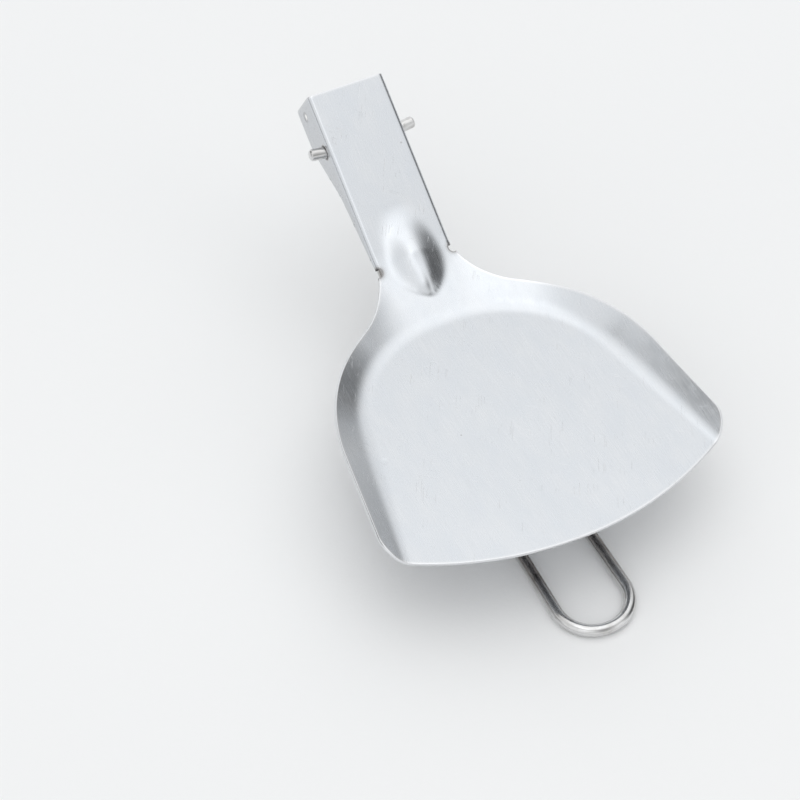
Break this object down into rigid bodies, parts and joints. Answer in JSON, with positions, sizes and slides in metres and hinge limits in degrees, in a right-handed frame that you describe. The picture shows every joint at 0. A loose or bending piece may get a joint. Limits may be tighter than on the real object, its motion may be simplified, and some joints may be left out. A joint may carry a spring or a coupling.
{
  "type": "folding camp spatula",
  "caption": "Folding camp shovel: a fan-shaped steel pan on a sloping channel tang, with a bent wire loop handle that swings half a turn from under the pan to straight out behind it.",
  "frame": {"origin": "middle of the pan floor's upper face", "axes": "+Z out of the pan floor, +Y from the front edge towards the tang, +X across the pan; the handle is folded under the pan at rest"},
  "size_m": [0.089, 0.1482, 0.0522],
  "materials": {
    "blade_steel": "satin, fine long grain",
    "wire_steel": "bright drawn wire"
  },
  "bodies": {
    "blade": {"blade": "blade_steel"},
    "handle": {"wire_handle": "wire_steel"}
  },
  "joints": [
    {"name": "handle_fold", "type": "hinge", "parent": "blade", "child": "handle", "pos_m": [0, 0.07998, 0.02049], "axis": [1, 0, 0], "range_deg": [0, 180]}
  ]
}
